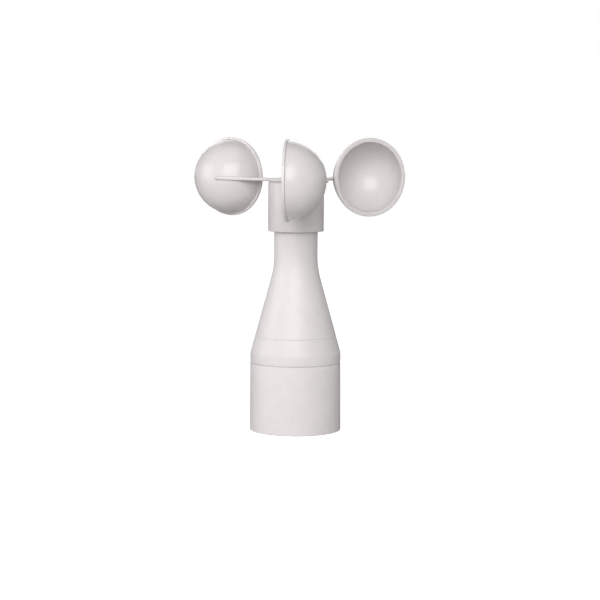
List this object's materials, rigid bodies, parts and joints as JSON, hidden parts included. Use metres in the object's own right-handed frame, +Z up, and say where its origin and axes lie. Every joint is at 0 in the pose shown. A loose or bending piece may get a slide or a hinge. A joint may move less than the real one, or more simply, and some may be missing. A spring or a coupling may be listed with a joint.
{
  "type": "cup anemometer",
  "caption": "Cup anemometer: hemispherical cups on a freely turning hub above a tapered off-white housing with a round base",
  "frame": {"origin": "on the rotor's axis, at the underside of the base", "axes": "+Z up along the rotor's axis; one cup's arm points along -Y at rest"},
  "size_m": [0.118, 0.1101, 0.1608],
  "materials": {
    "cup_plastic": "smooth moulded, slight gloss",
    "housing_plastic": "smooth moulded, satin",
    "stainless_steel": "turned stainless steel",
    "bearing_steel": "ground and polished",
    "brass": "turned",
    "turned_aluminium": "turned",
    "black_rubber": "matt",
    "black_plastic": "matt moulded",
    "board_green": "lacquered laminate",
    "capacitor_can": "drawn can",
    "terminal_green": "moulded",
    "gland_plastic": "moulded polyamide"
  },
  "bodies": {
    "housing": {"upper_housing": "housing_plastic", "lower_housing": "housing_plastic", "housing_seal": "black_rubber", "bearing_carrier": "turned_aluminium", "carrier_screws": "stainless_steel", "upper_outer_ring": "bearing_steel", "lower_outer_ring": "bearing_steel", "bearing_clips": "stainless_steel", "circuit_board": "board_green", "board_screws": "stainless_steel", "light_barrier": "black_plastic", "controller_chip": "black_plastic", "board_capacitors": "capacitor_can", "terminal_block": "terminal_green", "terminal_screws": "stainless_steel", "housing_screws": "stainless_steel", "bracket_inserts": "brass", "gland_body": "gland_plastic", "gland_washer": "black_rubber", "gland_seal": "black_rubber", "gland_cap": "gland_plastic", "gland_locknut": "gland_plastic"},
    "rotor": {"cup_1": "cup_plastic", "cup_2": "cup_plastic", "cup_3": "cup_plastic", "arm_spider": "cup_plastic", "rotor_hub": "cup_plastic", "hub_plug": "cup_plastic", "hub_nut": "stainless_steel", "hub_washer": "stainless_steel", "spider_screws": "stainless_steel", "rotor_shaft": "stainless_steel", "rain_slinger": "stainless_steel", "upper_inner_ring": "bearing_steel", "lower_inner_ring": "bearing_steel", "inner_spacer": "stainless_steel", "shaft_clip": "stainless_steel", "code_disc": "black_plastic", "code_disc_collar": "turned_aluminium", "collar_screw": "stainless_steel"},
    "upper_ball_set": {"upper_balls": "bearing_steel", "upper_cage": "brass"},
    "lower_ball_set": {"lower_balls": "bearing_steel", "lower_cage": "brass"}
  },
  "joints": [
    {"name": "rotor_spin", "type": "hinge", "parent": "housing", "child": "rotor", "pos_m": [0, 0, 0.12], "axis": [0, 0, 1], "continuous": true},
    {"name": "upper_ball_orbit", "type": "hinge", "parent": "housing", "child": "upper_ball_set", "pos_m": [0, 0, 0.1254], "axis": [0, 0, 1], "continuous": true},
    {"name": "lower_ball_orbit", "type": "hinge", "parent": "housing", "child": "lower_ball_set", "pos_m": [0, 0, 0.0849], "axis": [0, 0, 1], "continuous": true}
  ],
  "couplings": [
    {"joint": "upper_ball_orbit", "follows": "rotor_spin", "ratio": 0.38235},
    {"joint": "lower_ball_orbit", "follows": "rotor_spin", "ratio": 0.38235}
  ]
}
